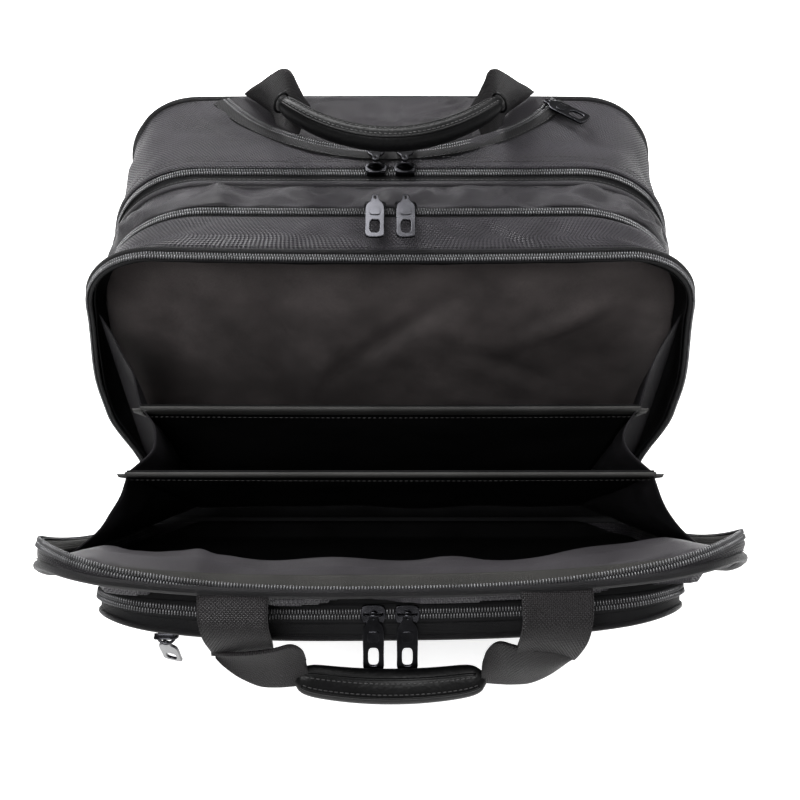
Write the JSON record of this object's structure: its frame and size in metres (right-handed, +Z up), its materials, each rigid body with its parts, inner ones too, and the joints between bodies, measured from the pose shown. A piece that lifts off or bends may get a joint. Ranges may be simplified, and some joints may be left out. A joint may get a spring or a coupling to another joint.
{
  "type": "flight bag",
  "caption": "Soft-sided flight bag with zipped compartments, a fold-forward front panel, hinged file dividers, a front pocket and two padded carry handles.",
  "frame": {"origin": "centre of the flat underside of the base", "axes": "+X to the right seen from the front, +Y to the back panel, +Z up; the front panel folds towards -Y"},
  "size_m": [0.4408, 0.4046, 0.3754],
  "materials": {
    "ballistic_nylon": "matte",
    "lining": "satin",
    "divider_cloth": "matte",
    "hem_binding": "matte",
    "piping_cord": "matte",
    "zip_coil": "semi-gloss",
    "webbing": "matte",
    "leatherette": "satin",
    "pocket_satin": "satin",
    "gunmetal": "polished"
  },
  "bodies": {
    "bag": {"base_panel": "ballistic_nylon", "rear_panel": "ballistic_nylon", "rear_piping": "piping_cord", "rear_gusset": "ballistic_nylon", "rear_zip": "zip_coil", "middle_piping": "piping_cord", "middle_gusset_rear": "ballistic_nylon", "middle_zip": "zip_coil", "middle_gusset_front": "ballistic_nylon", "front_piping": "piping_cord", "front_zip_body_half": "zip_coil", "laptop_wall": "lining", "organizer_wall": "lining", "rear_pocket_panel": "pocket_satin", "rear_pocket_flap": "ballistic_nylon", "rear_pocket_zip": "zip_coil", "accordion_rear": "divider_cloth", "front_zip_slider_left": "gunmetal", "front_zip_slider_right": "gunmetal"},
    "divider_rear": {"divider_rear_sheet": "divider_cloth", "divider_rear_hem": "hem_binding", "accordion_middle": "divider_cloth"},
    "divider_front": {"divider_front_sheet": "divider_cloth", "divider_front_hem": "hem_binding", "accordion_front": "divider_cloth"},
    "front_panel": {"panel_board": "lining", "panel_gusset": "ballistic_nylon", "panel_piping": "piping_cord", "front_zip_panel_half": "zip_coil", "pocket_gusset": "ballistic_nylon", "pocket_zip": "zip_coil", "pocket_face": "ballistic_nylon", "lower_pocket_zip": "zip_coil"},
    "rear_handle": {"rear_webbing_left": "webbing", "rear_webbing_right": "webbing", "rear_grip": "leatherette"},
    "front_handle": {"front_webbing_left": "webbing", "front_webbing_right": "webbing", "front_grip": "leatherette"},
    "rear_slider_left": {"rear_slider_left": "gunmetal"},
    "rear_slider_right": {"rear_slider_right": "gunmetal"},
    "rear_pull_left": {"rear_pull_left": "gunmetal"},
    "rear_pull_right": {"rear_pull_right": "gunmetal"},
    "middle_slider_left": {"middle_slider_left": "gunmetal"},
    "middle_slider_right": {"middle_slider_right": "gunmetal"},
    "middle_pull_left": {"middle_pull_left": "gunmetal"},
    "middle_pull_right": {"middle_pull_right": "gunmetal"},
    "pocket_slider_left": {"pocket_slider_left": "gunmetal"},
    "pocket_slider_right": {"pocket_slider_right": "gunmetal"},
    "pocket_pull_left": {"pocket_pull_left": "gunmetal"},
    "pocket_pull_right": {"pocket_pull_right": "gunmetal"},
    "lower_pocket_slider": {"lower_pocket_slider": "gunmetal"},
    "lower_pocket_pull": {"lower_pocket_pull": "gunmetal"},
    "rear_pocket_slider": {"rear_pocket_slider": "gunmetal"},
    "rear_pocket_pull": {"rear_pocket_pull": "gunmetal"},
    "front_zip_pull_left": {"front_zip_pull_left": "gunmetal"},
    "front_zip_pull_right": {"front_zip_pull_right": "gunmetal"}
  },
  "joints": [
    {"name": "divider_rear_hinge", "type": "hinge", "parent": "bag", "child": "divider_rear", "pos_m": [0, -0.085, 0.02], "axis": [1, 0, 0], "range_deg": [-20, 0], "deforming": ["accordion_rear"]},
    {"name": "divider_front_hinge", "type": "hinge", "parent": "divider_rear", "child": "divider_front", "pos_m": [0, -0.085, 0.02], "axis": [1, 0, 0], "range_deg": [-8, 0], "deforming": ["accordion_middle"]},
    {"name": "front_panel_hinge", "type": "hinge", "parent": "divider_front", "child": "front_panel", "pos_m": [0, -0.085, 0.02], "axis": [1, 0, 0], "range_deg": [-10, 0], "deforming": ["accordion_front"]},
    {"name": "rear_handle_hinge", "type": "hinge", "parent": "bag", "child": "rear_handle", "pos_m": [0, 0.07, 0.338], "axis": [-1, 0, 0], "range_deg": [0, 85]},
    {"name": "front_handle_hinge", "type": "hinge", "parent": "front_panel", "child": "front_handle", "pos_m": [0, -0.28657, 0.23967], "axis": [-1, 0, 0], "range_deg": [0, 85]},
    {"name": "rear_slider_left_slide", "type": "slide", "parent": "bag", "child": "rear_slider_left", "axis": [-1, 0, 0], "range_m": [0, 0.12]},
    {"name": "rear_pull_left_hinge", "type": "hinge", "parent": "rear_slider_left", "child": "rear_pull_left", "pos_m": [-0.01, -0.003, 0.3414], "axis": [1, 0, 0], "range_deg": [0, 95]},
    {"name": "middle_slider_left_slide", "type": "slide", "parent": "bag", "child": "middle_slider_left", "axis": [-1, 0, 0], "range_m": [0, 0.12]},
    {"name": "middle_pull_left_hinge", "type": "hinge", "parent": "middle_slider_left", "child": "middle_pull_left", "pos_m": [-0.01, -0.045, 0.3414], "axis": [-1, 0, 0], "range_deg": [0, 118]},
    {"name": "pocket_slider_left_slide", "type": "slide", "parent": "front_panel", "child": "pocket_slider_left", "axis": [-1, 0, 0], "range_m": [0, 0.046]},
    {"name": "pocket_pull_left_hinge", "type": "hinge", "parent": "pocket_slider_left", "child": "pocket_pull_left", "pos_m": [-0.01, -0.28575, 0.2266], "axis": [-1, 0, 0], "range_deg": [0, 100]},
    {"name": "front_zip_pull_left_hinge", "type": "hinge", "parent": "bag", "child": "front_zip_pull_left", "pos_m": [-0.2184, -0.08, 0.062], "axis": [0, 1, 0], "range_deg": [-4, 150]},
    {"name": "rear_slider_right_slide", "type": "slide", "parent": "bag", "child": "rear_slider_right", "axis": [1, 0, 0], "range_m": [0, 0.12]},
    {"name": "rear_pull_right_hinge", "type": "hinge", "parent": "rear_slider_right", "child": "rear_pull_right", "pos_m": [0.01, -0.003, 0.3414], "axis": [1, 0, 0], "range_deg": [0, 95]},
    {"name": "middle_slider_right_slide", "type": "slide", "parent": "bag", "child": "middle_slider_right", "axis": [1, 0, 0], "range_m": [0, 0.12]},
    {"name": "middle_pull_right_hinge", "type": "hinge", "parent": "middle_slider_right", "child": "middle_pull_right", "pos_m": [0.01, -0.045, 0.3414], "axis": [-1, 0, 0], "range_deg": [0, 118]},
    {"name": "pocket_slider_right_slide", "type": "slide", "parent": "front_panel", "child": "pocket_slider_right", "axis": [1, 0, 0], "range_m": [0, 0.046]},
    {"name": "pocket_pull_right_hinge", "type": "hinge", "parent": "pocket_slider_right", "child": "pocket_pull_right", "pos_m": [0.01, -0.28575, 0.2266], "axis": [-1, 0, 0], "range_deg": [0, 100]},
    {"name": "front_zip_pull_right_hinge", "type": "hinge", "parent": "bag", "child": "front_zip_pull_right", "pos_m": [0.2184, -0.08, 0.062], "axis": [0, -1, 0], "range_deg": [-4, 150]},
    {"name": "lower_pocket_slider_slide", "type": "slide", "parent": "front_panel", "child": "lower_pocket_slider", "axis": [1, 0, 0], "range_m": [0, 0.268]},
    {"name": "lower_pocket_pull_hinge", "type": "hinge", "parent": "lower_pocket_slider", "child": "lower_pocket_pull", "pos_m": [-0.138, -0.2853, 0.18964], "axis": [-1, 0, 0], "range_deg": [-30, 110]},
    {"name": "rear_pocket_slider_arc", "type": "hinge", "parent": "bag", "child": "rear_pocket_slider", "pos_m": [0, 0.177, 0.335], "axis": [0, 0, 1], "range_deg": [-33, 0]},
    {"name": "rear_pocket_pull_hinge", "type": "hinge", "parent": "rear_pocket_slider", "child": "rear_pocket_pull", "pos_m": [0.115, 0.06976, 0.3382], "axis": [-0.682, -0.7314, 0], "range_deg": [0, 150]}
  ],
  "couplings": [
    {"joint": "divider_rear_hinge", "follows": "front_panel_hinge", "ratio": 2},
    {"joint": "divider_front_hinge", "follows": "front_panel_hinge", "ratio": 0.8}
  ]
}
